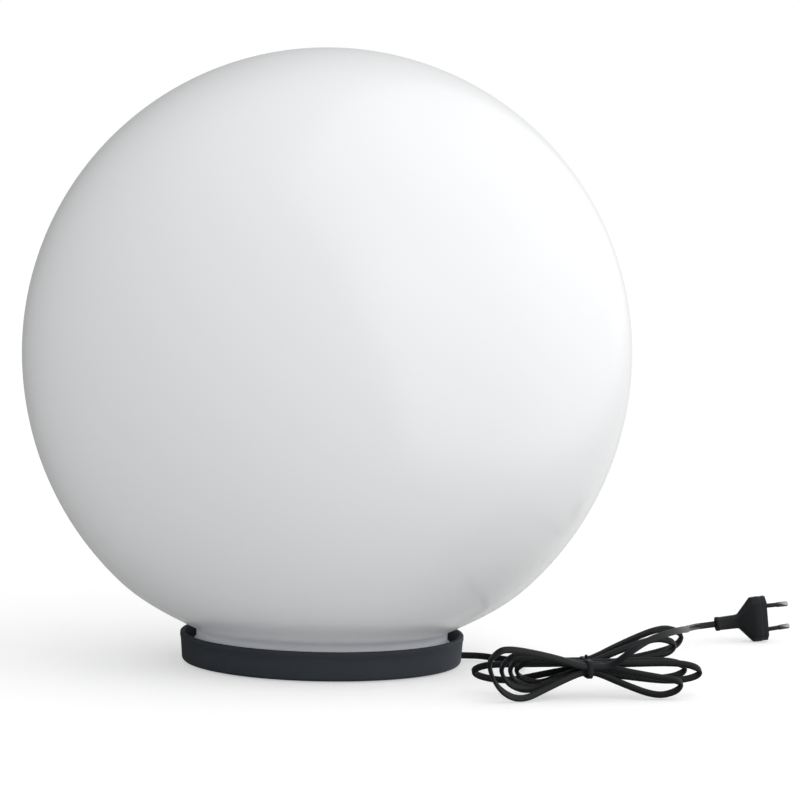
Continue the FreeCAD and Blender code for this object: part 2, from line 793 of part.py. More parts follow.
def plug_body():
    neck_end = -plug_len + plug_neck_len
    head = -plug_head_len
    sections = [
        plug_section(-plug_len, plug_neck_w, plug_neck_t, plug_neck_edge),
        plug_section(neck_end, plug_neck_w + 0.8, plug_neck_t + 1.2, plug_neck_edge),
        plug_section(head, plug_w - plug_taper, plug_t, plug_edge),
        plug_section(0, plug_w, plug_t, plug_edge),
    ]
    body = Part.makeLoft(sections, True, True)
    for side in (-1, 1):
        body = body.cut(pin_shape(side, 1.0, sleeve_d / 2 + 0.03, -plug_hole))
    return placed(body)


def pin_shape(side, start, radius, end):
    """A cylinder along one pin's axis, between two distances from the plug's face."""
    base = Vec(0, 0, side * pin_gap_base / 2)
    tip = Vec(pin_len, 0, side * pin_gap_tip / 2)
    way = (tip - base).normalize()
    low = min(start, end)
    return Part.makeCylinder(radius, abs(end - start), base + way * low, way)


def plug_pin(side):
    """Brass pin: thin under its sleeve, full size at its tip, with a rounded end."""
    metal = pin_shape(side, pin_sleeve_len, pin_d / 2, pin_len)
    far = max(metal.Edges, key=lambda e: e.CenterOfMass.x)
    metal = metal.makeFillet(pin_d / 2 - 0.6, [far])
    core = pin_shape(side, 0.1 - plug_hole, sleeve_d / 2 - 0.55, pin_sleeve_len)
    return placed(metal.fuse(core))


def pin_sleeve(side):
    body = pin_shape(side, 0.1 - plug_hole, sleeve_d / 2, pin_sleeve_len)
    return placed(body.cut(pin_shape(side, -plug_hole, sleeve_d / 2 - 0.53, pin_sleeve_len + 1)))


# ---- lead inside the dish ----------------------------------------------------------------------
def inner_cord():
    z = inner_cord_z()
    return cord([
        OUT * ring_r + UP * cord_floor_z, OUT * (ring_r - 18) + UP * cord_floor_z,
        OUT * (clamp_x + 2 * clamp_w) + UP * z, UP * z, UP * core_z(),
    ])


def core_z():
    """Where the lead's cover ends inside the nipple, and its cores begin."""
    return nipple_z + nipple_len - cord_rise


def live_core(side):
    low = core_z()
    terminal_z = block_z - terminal_h
    part_z = low + core_rise
    return cord([
        Vec(side * core_x, 0, low), Vec(side * core_x, 0, part_z),
        Vec(side * terminal_x, 0, (part_z + terminal_z) / 2 + 0.5), Vec(side * terminal_x, 0, terminal_z + 3),
    ], core_d / 2)


def cord_clamp():
    """Bar screwed under the lead, so that a pull on it stays outside."""
    top = clamp_top()
    bar = slab(clamp_x - clamp_w / 2, clamp_x + clamp_w / 2, -clamp_len / 2, clamp_len / 2,
               top - clamp_t, top)
    bar = bar.makeFillet(1.5, edges_along(bar, UP))
    return around(bar, cord_angle)


def build():
    export("globe", globe())
    export("neck_seal", neck_seal())
    export("base_dish", base_dish())
    export("collar", collar())
    for number, angle in enumerate(foot_angles(), 1):
        export("foot_%d" % number, rubber_foot(angle))
    for number in range(1, clip_count + 1):
        export("spring_clip_%d" % number, spring_clip(cord_angle + 360.0 * (number - 0.5) / clip_count))
    for make in (holder_riser, nipple, locknut, holder_cap, holder_shell, contact_block, thread_sleeve,
                 centre_contact, bulb_contact, bulb_insulator, bulb_cap, bulb_housing, bulb_board,
                 bulb_dome, cord_clamp, inner_cord, hank_tie, plug_body, cord_hank):
        export(make.__name__, make())
    export("cord_lead", cord(lead_points()))
    export("cord_tail", cord(tail_points()))
    for number, side in enumerate((-1, 1), 1):
        export("terminal_%d" % number, terminal(side))
        export("core_%d" % number, live_core(side))
        export("plug_pin_%d" % number, plug_pin(side))
        export("pin_sleeve_%d" % number, pin_sleeve(side))


build()
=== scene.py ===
# %% [markdown]
# # A garden globe light
#
# An opal plastic globe stands in a low dark dish. A flat black lead comes out of the dish, is tied
# in a hank, and ends in a flat plug. Inside, a lamp holder on a stand carries a screw-in bulb.
#
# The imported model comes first. It gives every rigid part its true place, in metres, with the floor
# at z = 0, and the rest of this file dresses it.

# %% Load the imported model
import bpy
import bmesh
import json
import math
from mathutils import Matrix, Vector


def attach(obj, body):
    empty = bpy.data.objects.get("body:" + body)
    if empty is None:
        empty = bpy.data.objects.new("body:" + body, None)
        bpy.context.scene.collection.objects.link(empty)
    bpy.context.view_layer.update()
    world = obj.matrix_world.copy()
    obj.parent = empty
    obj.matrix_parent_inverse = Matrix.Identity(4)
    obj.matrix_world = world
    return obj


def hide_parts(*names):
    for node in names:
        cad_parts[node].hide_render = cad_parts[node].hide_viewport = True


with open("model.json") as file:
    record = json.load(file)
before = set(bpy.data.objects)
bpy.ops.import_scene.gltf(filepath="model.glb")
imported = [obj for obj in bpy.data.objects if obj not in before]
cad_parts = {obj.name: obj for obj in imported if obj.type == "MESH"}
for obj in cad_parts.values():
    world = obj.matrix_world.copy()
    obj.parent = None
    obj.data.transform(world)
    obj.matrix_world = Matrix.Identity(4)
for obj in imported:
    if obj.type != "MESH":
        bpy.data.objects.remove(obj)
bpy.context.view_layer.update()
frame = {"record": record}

MM = 0.001

# %% [markdown]
# ## Camera
#
# A product photograph like this is taken with a long lens from a few metres away, so that the globe
# stays round. The camera looks down by about five degrees. Its place and angles are worked out from
# the globe's outline and the ellipse of the dish, and a matrix built from the three directions of
# view avoids any doubt about the order of rotations.

# %% Camera
camera_place = Vector((0.0, -3.150, 0.477))
picture_px, sensor_mm = 800, 36
focal_px = 4275.05
turn_right, look_down, roll = (math.radians(a) for a in (0.988, 5.090, 1.2098))

ahead = Vector((math.sin(turn_right) * math.cos(look_down),
                math.cos(turn_right) * math.cos(look_down), -math.sin(look_down)))
level = Vector((math.cos(turn_right), -math.sin(turn_right), 0))
upward = level.cross(ahead)
right = level * math.cos(roll) + upward * math.sin(roll)
over = upward * math.cos(roll) - level * math.sin(roll)

lens = bpy.data.cameras.new("camera")
lens.sensor_fit = "HORIZONTAL"
lens.sensor_width = sensor_mm
lens.lens = focal_px / picture_px * sensor_mm
lens.clip_end = 40
camera = bpy.data.objects.new("camera", lens)
camera.matrix_world = (Matrix.Translation(camera_place)
                       @ Matrix((right, over, -ahead)).transposed().to_4x4())
bpy.context.collection.objects.link(camera)
bpy.context.scene.camera = camera
print("lens", round(lens.lens, 1), "mm")

# %% [markdown]
# ## A small language for materials
#
# Shader nodes read more easily as sums. `Value` wraps one socket, and its operators add Math nodes,
# so `0.4 + 0.1 * noise` builds the nodes it says. `Finish` holds one material, and its `node` method
# makes any other node from its type, its settings and its inputs.

# %% Sockets with arithmetic
class Value:
    """One output socket that can be added, multiplied and so on."""

    def __init__(self, finish, socket):
        self.finish = finish
        self.socket = socket

    def _math(self, operation, first, second):
        return self.finish.node("ShaderNodeMath", {"operation": operation}, {0: first, 1: second})

    def __add__(self, other): return self._math("ADD", self, other)
    def __radd__(self, other): return self._math("ADD", other, self)
    def __sub__(self, other): return self._math("SUBTRACT", self, other)
    def __rsub__(self, other): return self._math("SUBTRACT", other, self)
    def __mul__(self, other): return self._math("MULTIPLY", self, other)
    def __rmul__(self, other): return self._math("MULTIPLY", other, self)


class Finish:
    """A material, or the world, with short ways to add nodes."""

    def __init__(self, tree):
        self.tree = tree
        tree.nodes.clear()

    def node(self, kind, settings=None, inputs=None, output=0):
        made = self.tree.nodes.new(kind)
        for key, value in (settings or {}).items():
            setattr(made, key, value)
        for key, value in (inputs or {}).items():
            if isinstance(value, Value):
                self.tree.links.new(value.socket, made.inputs[key])
            else:
                made.inputs[key].default_value = value
        return Value(self, made.outputs[output]) if len(made.outputs) else made

    def place(self):
        return self.node("ShaderNodeTexCoord", output="Object")

    def noise(self, size_mm, detail=2.0):
        """Values around 0.5 that change over about this many millimetres."""
        return self.node("ShaderNodeTexNoise", None, {
            "Vector": self.place(), "Scale": 1 / (size_mm * MM), "Detail": detail})

    def ramp(self, value, low, high):
        """0 below low, 1 above high, and a smooth change between."""
        return self.node("ShaderNodeMapRange", {"interpolation_type": "SMOOTHSTEP"}, {
            "Value": value, "From Min": low, "From Max": high})

    def mix(self, share, first, second):
        """A colour between two colours."""
        return self.node("ShaderNodeMix", {"data_type": "RGBA"}, {0: share, 6: first, 7: second},
                         output=2)

    def axis(self, name, vector=None):
        return self.node("ShaderNodeSeparateXYZ", None, {0: vector or self.place()}, output=name)

    def bump(self, height, depth_mm):
        return self.node("ShaderNodeBump", None, {
            "Height": height, "Distance": depth_mm * MM, "Strength": 1.0})

    def surface(self, **inputs):
        """Finish with a Principled shader. Its inputs are named with underscores for spaces."""
        shader = self.node("ShaderNodeBsdfPrincipled", None,
                           {key.replace("_", " "): value for key, value in inputs.items()})
        self.node("ShaderNodeOutputMaterial", None, {"Surface": shader})


def new_finish(name):
    material = bpy.data.materials.new(name)
    material.use_nodes = True
    return material, Finish(material.node_tree)


def rgb(red, green, blue):
    """A colour as a picture shows it, 0 to 255, in the linear values that shaders use."""
    line = [c / 255 for c in (red, green, blue)]
    return tuple(c / 12.92 if c <= 0.04045 else ((c + 0.055) / 1.055) ** 2.4 for c in line) + (1.0,)


# %% [markdown]
# ## Light and floor
#
# The globe shows its light. The edge of a large soft light at its right can be seen as a curved line
# across the glossy plastic, and its left rim is dark, as in a studio with a black curtain behind.
# So two kinds of light are used. The world and one lamp give the even light on matt surfaces. All
# that the gloss reflects is on one big ball round the set, which only reflected rays can see.
# The background is white because rays from the camera find the world at a strength of one, and so
# do reflections and rays through glass.

# %% World
world = bpy.data.worlds.new("studio")
world.use_nodes = True
bpy.context.scene.world = world
sky = Finish(world.node_tree)


def seen_directly(finish):
    """1 for rays from the camera, and for reflected and transmitted rays."""
    ray = [finish.node("ShaderNodeLightPath", output=name)
           for name in ("Is Camera Ray", "Is Glossy Ray", "Is Transmission Ray")]
    return finish.node("ShaderNodeMath", {"operation": "MINIMUM"},
                       {0: ray[0] + ray[1] + ray[2], 1: 1.0})


direction = sky.node("ShaderNodeTexCoord", output="Generated")
up, rightwards = sky.axis("Z", direction), sky.axis("X", direction)
even, from_above, from_right, dark_corner = 0.92, 0.13, 0.19, 0.17
room = even + from_above * sky.ramp(up, -0.2, 0.9) + from_right * rightwards
room = room - dark_corner * sky.ramp(up - rightwards, 0.5, 1.4)
strength = seen_directly(sky)
background = sky.node("ShaderNodeBackground", None, {
    "Color": (1, 1, 1, 1), "Strength": strength + (1 - strength) * room})
sky.node("ShaderNodeOutputWorld", None, {"Surface": background})

# %% Lamp
globe_middle = Vector((0, 0, 0.2303))
key_light = bpy.data.lights.new("key", "AREA")
key_light.size = 2.0
key_light.energy = 16.0
key = bpy.data.objects.new("key", key_light)
key_place = Vector((1.6, -2.0, 2.4))
key.matrix_world = (Matrix.Translation(key_place)
                    @ (key_place - globe_middle).to_track_quat("Z", "Y").to_matrix().to_4x4())
key.visible_camera = False
key.visible_glossy = False
bpy.context.collection.objects.link(key)

# %% [markdown]
# The big ball carries the soft light and the dim room. Each straight edge of the soft light is a
# plane through the globe's middle, so it is one dot product with the direction, and a smooth step
# over it gives the soft rim that shows on the globe. The room is dark at the left, as with a curtain,
# and dimmer on the camera's side and below.

# %% What the gloss reflects
surround_mesh = bpy.data.meshes.new("surround")
work = bmesh.new()
bmesh.ops.create_uvsphere(work, u_segments=48, v_segments=24, radius=7.0)
work.to_mesh(surround_mesh)
work.free()
surround = bpy.data.objects.new("surround", surround_mesh)
surround.location = globe_middle
bpy.context.collection.objects.link(surround)
surround.visible_camera = surround.visible_diffuse = surround.visible_transmission = False
surround.visible_shadow = False

card, f = new_finish("surround_light")
outward = f.node("ShaderNodeVectorMath", {"operation": "NORMALIZE"}, {0: f.place()})


def towards(*way):
    """How far the direction on the ball leans towards a given one."""
    return f.node("ShaderNodeVectorMath", {"operation": "DOT_PRODUCT"}, {0: outward, 1: way},
                  output="Value")


left_edge = f.ramp(towards(0.864, 0.380, 0.332), -0.06, -0.02)
rear_edge = f.ramp(towards(0.929, -0.344, 0.138), 0.02, 0.07)
lower_edge = f.ramp(towards(0.359, -0.287, 0.888), -0.20, 0.02)
fades_behind = 1 - 0.6 * f.ramp(towards(0, 1, 0), -0.1, 0.85)
fades_above = 1 - 0.45 * f.ramp(towards(0, 0, 1), 0.35, 0.9)
soft_light = left_edge * rear_edge * lower_edge * fades_behind * fades_above

left_curtain = 0.10 + 0.85 * f.ramp(towards(1, 0, -0.25), -0.45, 0.55)
camera_side = 0.25 + 0.75 * f.ramp(towards(0, 1, 0), -0.6, 0.4)
below = 1 - 0.5 * f.ramp(towards(0, 0, -1), 0.3, 0.95)
ceiling = 0.35 * f.ramp(towards(0, 0, 1), 0.6, 0.97)
dim_room = left_curtain * camera_side * below + ceiling

brightest, soft_level = 2.4, 1.3
shade = f.mix((dim_room + soft_level * soft_light) * (1 / brightest), (0, 0, 0, 1), (brightest,) * 3 + (1,))
f.node("ShaderNodeOutputMaterial", None, {"Surface": f.node("ShaderNodeEmission", None, {"Color": shade})})
surround_mesh.materials.append(card)

# %% Floor
floor_mesh = bpy.data.meshes.new("floor")
work = bmesh.new()
bmesh.ops.create_grid(work, x_segments=1, y_segments=1, size=6.0)
work.to_mesh(floor_mesh)
work.free()
floor = bpy.data.objects.new("floor", floor_mesh)
bpy.context.collection.objects.link(floor)
floor.visible_glossy = False
floor_material, paper = new_finish("floor_paper")
lit = paper.node("ShaderNodeBsdfDiffuse", None, {"Color": (0.6, 0.6, 0.6, 1)})
glow = paper.node("ShaderNodeEmission", None, {"Color": (1, 1, 1, 1), "Strength": 0.45})
bright = paper.node("ShaderNodeAddShader", None, {0: lit, 1: glow})
dull = paper.node("ShaderNodeBsdfDiffuse", None, {"Color": (0.70, 0.70, 0.70, 1)})
paper.node("ShaderNodeOutputMaterial", None, {"Surface": paper.node(
    "ShaderNodeMixShader", None, {0: seen_directly(paper), 1: dull, 2: bright})})
floor_mesh.materials.append(floor_material)

# %% [markdown]
# ## Turned and lofted shapes
#
# Most parts of a lamp are turned: a profile goes once round the axis. `Outline` draws a profile in
# the XZ plane, straight lines by new vertices and round ones by spinning the last vertex about the
# arc's middle, and `turned` spins it about Z. `loft` extrudes one ring of edges from station to
# station, which suits the plug and the lead. Parts that need no new shape are `polished`.

# %% Helpers for meshes
TOUCHING = 1e-6          # metres between vertices that are one


def put_in_scene(work, name, material, body, stands_for, sharp):
    """Make an object of a bmesh, smooth except at its sharp edges, that moves with a body."""
    mesh = bpy.data.meshes.new(name)
    work.to_mesh(mesh)
    work.free()
    mesh.shade_smooth()
    mesh.set_sharp_from_angle(angle=math.radians(sharp))
    mesh.materials.append(material)
    made = bpy.data.objects.new(name, mesh)
    bpy.context.collection.objects.link(made)
    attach(made, body)
    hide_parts(*stands_for)
    return made


def finish_mesh(work, name, material, body, stands_for, sharp=32):
    """Close and orient a new shape, and put it in the scene."""
    bmesh.ops.remove_doubles(work, verts=work.verts, dist=2 * TOUCHING)
    bmesh.ops.recalc_face_normals(work, faces=work.faces)
    return put_in_scene(work, name, material, body, stands_for, sharp)


def polished(node, material, sharp=32):
    """Put in the scene a copy of a part from the model, with its loose triangles joined."""
    work = bmesh.new()
    work.from_mesh(bpy.data.objects[node].data)
    bmesh.ops.remove_doubles(work, verts=work.verts, dist=TOUCHING)
    record = frame["record"]
    body = next(name for name, nodes in record["behaviour"]["bodies"].items() if node in nodes)
    slot = next(part["material_slot"] for part in record["subparts"] if part["node"] == node)
    return put_in_scene(work, node + "_finished", material, body, (node,), sharp)


class Outline:
    """A profile in the XZ plane, in millimetres."""

    def __init__(self, radius, height):
        self.work = bmesh.new()
        self.first = self.last = self.work.verts.new((radius * MM, 0, height * MM))

    def to(self, *points):
        for radius, height in points:
            vert = self.work.verts.new((radius * MM, 0, height * MM))
            self.work.edges.new((self.last, vert))
            self.last = vert
        return self

    def arc(self, middle, degrees, steps):
        """Go round a middle, (radius, height). Positive turns lead from up to outwards."""
        swept = bmesh.ops.spin(self.work, geom=[self.last], cent=(middle[0] * MM, 0, middle[1] * MM),
                               axis=(0, 1, 0), angle=math.radians(degrees), steps=steps)
        self.last = next(v for v in swept["geom_last"] if isinstance(v, bmesh.types.BMVert))
        return self

    def turned(self, steps, closed=True):
        """Spin the profile about Z. A closed one is first joined from its end to its start."""
        work = self.work
        if closed:
            work.edges.new((self.last, self.first))
        bmesh.ops.spin(work, geom=work.verts[:] + work.edges[:], cent=(0, 0, 0), axis=(0, 0, 1),
                       angle=math.tau, steps=steps, use_merge=True)
        bmesh.ops.remove_doubles(work, verts=work.verts, dist=TOUCHING)
        bmesh.ops.recalc_face_normals(work, faces=work.faces)
        return work


def loft(rings):
    """Extrude one ring of edges from station to station. A ring is a list of points in metres.

    The new vertices are matched to the last ring by the edges between them, since the operator
    gives them in no fixed order.
    """
    work = bmesh.new()
    bmesh.ops.create_circle(work, segments=len(rings[0]), radius=1)
    order = {vert: k for k, vert in enumerate(work.verts)}
    for vert, k in order.items():
        vert.co = rings[0][k]
    first = edges = work.edges[:]
    for ring in rings[1:]:
        made = bmesh.ops.extrude_edge_only(work, edges=edges)["geom"]
        edges = [e for e in made if isinstance(e, bmesh.types.BMEdge)]
        fresh = {}
        for vert in (v for v in made if isinstance(v, bmesh.types.BMVert)):
            partner = next(e.other_vert(vert) for e in vert.link_edges if e.other_vert(vert) in order)
            fresh[vert] = order[partner]
        for vert, k in fresh.items():
            vert.co = ring[k]
        order = fresh
        edges = [e for e in edges if e.verts[0] in order and e.verts[1] in order]
    for rim in (first, edges):
        bmesh.ops.contextual_create(work, geom=rim)
    return work


def stand(work, foot, way):
    """Take a piece that was turned about Z to its foot, in millimetres, along a direction."""
    turn = Vector((0, 0, 1)).rotation_difference(way).to_matrix().to_4x4()
    bmesh.ops.transform(work, matrix=Matrix.Translation(foot * MM) @ turn, verts=work.verts)
    return work


def soften(work, edge_mm, least_angle=0.25):
    """Round every crease of a closed shape."""
    bmesh.ops.recalc_face_normals(work, faces=work.faces)
    creases = [e for e in work.edges if len(e.link_faces) == 2 and e.calc_face_angle() > least_angle]
    bmesh.ops.bevel(work, geom=creases, offset=edge_mm * MM, offset_type="OFFSET", segments=2,
                    profile=0.5, affect="EDGES", material=-1, clamp_overlap=True)
    return work


# %% [markdown]
# ## The lead
#
# The lead is one piece of flat two-core cable, about 2.1 m long. It leaves the dish, goes behind the
# hank, through the tie eleven times with five loops on each side, and on to the plug. Its middle
# line is one smooth spline. The hank comes from a rule: the loops stand in sheets that open like a
# fan from the tie. Each loop has its own reach, and its own heights of tip, top and foot. It has seven
# points, so the spline rises from the tie, rounds the tip and comes back below. The loops at the left
# lean: their tops lie further out than their feet.

# %% Points of the hank
hank_place = Vector((187.6, -150.0, 22.0))         # millimetres, as all of the route
hank_turn = math.radians(12.0)
along = Vector((math.cos(hank_turn), math.sin(hank_turn), 0))
behind = Vector((-along.y, along.x, 0))
overhead = Vector((0, 0, 1))
waist_half, sheet_step, fan = 5.0, 3.9, math.tan(math.radians(6.0))
stagger, row = 0.6, 2.65
fullness, lean_left, lean_right = 0.11, 0.09, 0.02
start, peak, shoulder, end = 0.38, 0.76, 0.96, 1.03     # shares of the reach
right_loops = [(78, 16.5, 22.5, 7.5), (69, 12.5, 17, 5.5), (74, -3, 2.5, -8.5),
               (81.5, -3.5, 2.2, -8.8), (65, -10.5, -7, -18)]
left_loops = [(75.5, -5.5, -0.5, -11.5), (48, -3, 2.5, -11.5), (55, -1.5, 7, -13.5),
              (64, 0.5, 9.5, -13.5), (76, 7, 15, -18)]


def hank_point(x, sheet, z):
    depth = (len(right_loops) / 2 - sheet) * (sheet_step + abs(x) * fan)
    return hank_place + along * x + behind * depth + overhead * z


def strand_height(sheet, up):
    """Height at which a strand of a sheet passes through the tie."""
    return (stagger if sheet % 2 == 0 else -stagger) + (row if up else -row)


def loop_points(side, size, sheets):
    """Control points of one loop, from its upper strand round the tip to its lower strand."""
    reach, tip, top, low = size
    full, lean = fullness * (top - low), lean_left if side < 0 else lean_right
    top, low = top + full, low - full
    upper, lower = sheets
    return [hank_point(side * reach * share, sheet, z) for share, sheet, z in [
        (start, upper, (strand_height(upper, True) + top) / 2),
        (peak + lean, upper, top),
        (shoulder, upper * 0.75 + lower * 0.25, 0.65 * top + 0.35 * tip),
        (end, (upper + lower) / 2, tip),
        (shoulder - lean / 2, upper * 0.25 + lower * 0.75, 0.65 * low + 0.35 * tip),
        (peak - lean, lower, low),
        (start, lower, (strand_height(lower, False) + low) / 2)]]


hank_route = []
for sheet in range(len(right_loops) + 1):
    hank_route += [hank_point(x, sheet, strand_height(sheet, True)) for x in (-waist_half, waist_half)]
    if sheet == len(right_loops):
        break
    hank_route += loop_points(1, right_loops[sheet], (sheet, sheet))
    hank_route += [hank_point(x, sheet, strand_height(sheet, False)) for x in (waist_half, -waist_half)]
    hank_route += reversed(loop_points(-1, left_loops[sheet], (sheet + 1, sheet)))
print("points of the hank", len(hank_route))

# %% [markdown]
# The ends of the lead are listed points. From the dish it runs a little way along the
# floor and then behind the loops to the tie. From the tie it rises over the right-hand loops, and
# as it goes back it comes down slowly to the plug, which stands on its edge.

# %% Route of the lead
exit_turn = math.radians(8.0)
outwards = Vector((math.cos(exit_turn), math.sin(exit_turn), 0))
exit_reach, exit_height = 105.3, 4.4
exit_point = outwards * exit_reach + overhead * exit_height
first, last = hank_route[0], hank_route[-1]

plug_yaw, plug_pitch = math.radians(12.0), math.radians(6.5)
plug_way = Vector((math.cos(plug_yaw) * math.cos(plug_pitch),
                   math.sin(plug_yaw) * math.cos(plug_pitch), math.sin(plug_pitch)))
plug_up = Vector((-math.cos(plug_yaw) * math.sin(plug_pitch),
                  -math.sin(plug_yaw) * math.sin(plug_pitch), math.cos(plug_pitch)))
plug_heel = Vector((335.7, 145.3, 0.1))            # where the head touches the floor
head_length, head_half_width, plug_length = 11.7, 17.35, 40.7
plug_face = plug_heel + plug_way * head_length + plug_up * head_half_width
plug_rear = plug_face - plug_way * plug_length

route = [exit_point, exit_point + outwards * 12.0]
route += [Vector(p) for p in [
    (131, 14, 2.9), (143, 6.5, 2.6), (149.5, -7, 3.2), (151.5, -30, 6), (148.5, -57, 11),
    (143.5, -84, 16.5), (142, -109, 21.5), (147.6, -130, 25.2), (156, -138.9, 26.8)]]
route += [first - along * 12.5] + hank_route + [last + along * 10.5]
route += [Vector(p) for p in [
    (217.5, -159, 34.5), (231, -154, 43), (244, -146, 46.5), (256, -131, 47.5), (263.5, -100, 43.5),
    (267, -60, 38.3), (269.5, -20, 32.5), (272.5, 20, 26.5), (276, 58, 21.1), (279.5, 94.4, 16.1),
    (284.5, 117, 13.9), (290, 129, 13.3)]]
route += [plug_rear - plug_way * 12.5, plug_rear]

line = bpy.data.curves.new("lead_line", "CURVE")
line.dimensions = "3D"
line.resolution_u = 10
spline = line.splines.new("NURBS")
spline.points.add(len(route) - 1)
for control, place in zip(spline.points, route):
    control.co = (*(place * MM), 1)
spline.order_u = 3
spline.use_endpoint_u = True
guide = bpy.data.objects.new("lead_line", line)
bpy.context.collection.objects.link(guide)
followed = bpy.data.meshes.new_from_object(guide)
path = [v.co.copy() for v in followed.vertices]
bpy.data.objects.remove(guide)

# %% [markdown]
# The flat cable shows its broad side from the dish to the plug. It bends easily only across its thin
# side, so at the tip of each loop it has turned by a quarter. The wanted direction of the broad side
# is worked out at each point and then evened out along the lead, so the cable twists slowly.

# %% Shape of the lead
lead_width, lead_thick = 4.9 * MM, 2.9 * MM
hank_reach, steep, more_steep = 95, 0.45, 0.4
smoothing_passes, corners = 16, 16


def beside(items, k):
    """The items before and after one in a list. Each end is its own neighbour."""
    return items[max(k - 1, 0)], items[min(k + 1, len(items) - 1)]


def heading(k):
    before, after = beside(path, k)
    return (after - before).normalized()


def wanted_side(place, way):
    """Direction of the broad side of the cable at a point of its path."""
    in_hank = (place / MM - hank_place).length < hank_reach
    share = min(max((abs(way.z) - steep) / more_steep, 0), 1) if in_hank else 0
    return overhead * (1 - share) + behind * share


sides = []
for k, place in enumerate(path):
    way = heading(k)
    side = wanted_side(place, way)
    side = (side - way * side.dot(way)).normalized()
    if sides and side.dot(sides[-1]) < 0:
        side = -side
    sides.append(side)
for _ in range(smoothing_passes):
    pairs = [beside(sides, k) for k in range(len(sides))]
    sides = [(before + side + after).normalized() for (before, after), side in zip(pairs, sides)]

flat_half = (lead_width - lead_thick) / 2
section = []
for k in range(corners):
    u, v = math.cos(math.tau * k / corners), math.sin(math.tau * k / corners)
    section.append((u * lead_thick / 2 + flat_half * max(-1, min(1, 3 * u)), v * lead_thick / 2))

rings = []
for k, place in enumerate(path):
    way = heading(k)
    side = (sides[k] - way * sides[k].dot(way)).normalized()
    thin = way.cross(side)
    rings.append([place + side * u + thin * v for u, v in section])

# %% [markdown]
# The cover of the lead is black PVC. It has a soft sheen, very fine long marks from the die that it
# was drawn through, and faint dust.

# %% Finish of the lead
vinyl, f = new_finish("black_vinyl")
marks = f.noise(1.6, 3.0)
dust = f.noise(30.0, 4.0)
dusty = 0.4 * f.ramp(dust, 0.45, 0.75)
f.surface(Base_Color=f.mix(dusty, (0.0085, 0.0095, 0.0105, 1), (0.015, 0.016, 0.0175, 1)),
          Roughness=0.33 + 0.14 * marks, Normal=f.bump(marks, 0.03), IOR=1.5, Specular_IOR_Level=0.20)

lead = finish_mesh(loft(rings), "lead", vinyl, "base", ("cord_lead", "cord_hank", "cord_tail"),
                   sharp=60)
lowest = min(vert.co.z for vert in lead.data.vertices) / MM
print("lead faces", len(lead.data.polygons), "lowest", round(lowest, 2), "mm")

# %% [markdown]
# ## The globe
#
# The globe is blown from white acrylic: a ball with a short neck, joined by a small hollow curve.
# Its wall is 3 mm. The profile runs down the outside and back up the inside, and one spin closes it.
# Towards the neck the ball is a little fuller than a true one, so those points move outwards.

# %% Globe
ball_z, ball_r, neck_r, wall_t, hollow = 230.29, 225.0, 93.2, 3.0, 5.5
most_swell, swell_from, swell_to, swell_fades = 0.02, 90, 204, 34
curve_r = neck_r + hollow
curve_z = ball_z - math.sqrt((ball_r + hollow) ** 2 - curve_r ** 2)
lean = math.degrees(math.atan2(curve_r, ball_z - curve_z))
neck_z = 12.1
profile = Outline(0, ball_z + ball_r)
profile.arc((0, ball_z), 180 - lean, 120).arc((curve_r, curve_z), lean - 90, 8)
profile.to((neck_r, neck_z), (neck_r - wall_t, neck_z), (neck_r - wall_t, curve_z))
profile.arc((curve_r, curve_z), 90 - lean, 8).arc((0, ball_z), lean - 180, 120)


def fuller(r, z):
    """Move a point of the ball outwards, as if the ball were taller below its middle."""
    down = ball_z - z
    ease = [min(max(share, 0), 1) for share in (down / swell_from, (swell_to - down) / swell_fades)]
    swell = most_swell * math.prod(share * share * (3 - 2 * share) for share in ease)
    return math.sqrt(max(r * r + down * down * (1 - 1 / (1 + swell) ** 2), 0)), z


for vert in profile.work.verts:
    vert.co = Vector((*fuller(vert.co.x / MM, vert.co.z / MM), 0)).xzy * MM

opal, f = new_finish("opal_acrylic")
z = f.axis("Z")
cloud = f.noise(160.0, 2.0)
# Towards the foot of the neck the white turns a little lighter and bluer: painted light that stands in for
# light coming through the wall into the shaded neck.
white_and_painted_neck_light = f.mix(f.ramp(z, 0.012, 0.045), rgb(232, 236, 246), rgb(234, 235, 236))
# The foot of the neck glows faintly: painted light standing in for light scattered through the plastic.
painted_neck_glow = f.mix(f.ramp(z, 0.020, 0.041), (0.086, 0.084, 0.084, 1), (0, 0, 0, 1))
f.surface(Base_Color=white_and_painted_neck_light, Roughness=0.20 + 0.05 * cloud, IOR=1.49,
          Emission_Color=painted_neck_glow, Emission_Strength=1.0, Normal=f.bump(f.noise(60.0, 1.0), 0.05))
globe = finish_mesh(profile.turned(192, closed=False), "globe_shell", opal, "globe", ("globe",))
print("globe faces", len(globe.data.polygons))

# %% [markdown]
# ## The dish
#
# The dish is moulded in charcoal plastic with a fine spark-eroded grain, as such bases have.

# %% Dish
charcoal, f = new_finish("charcoal_plastic")
grain = f.noise(0.55, 2.0)
patch = f.noise(35.0, 3.0)
f.surface(Base_Color=f.mix(patch, (0.039, 0.044, 0.0525, 1), (0.045, 0.0505, 0.0590, 1)),
          Roughness=0.5 + 0.16 * grain, Normal=f.bump(grain, 0.05), IOR=1.45, Specular_IOR_Level=0.06)
for node in ("base_dish", "collar", "cord_clamp"):
    polished(node, charcoal)

# %% Finishes of the small parts
def moulded(name, colour, roughness, grain_mm=0.8, depth_mm=0.02, metallic=0.0, vary=0.12, **more):
    """Plastic, rubber or metal with a grain, a slow change of tone and uneven gloss."""
    material, f = new_finish(name)
    fine = f.noise(grain_mm, 2.0)
    slow = f.noise(grain_mm * 30, 2.0)
    darker = tuple(c * (1 - vary) for c in colour[:3]) + (1,)
    lighter = tuple(min(1, c * (1 + vary)) for c in colour[:3]) + (1,)
    f.surface(Base_Color=f.mix(slow, darker, lighter), Metallic=metallic,
              Roughness=roughness * 0.8 + roughness * 0.4 * fine, Normal=f.bump(fine, depth_mm), **more)
    return material


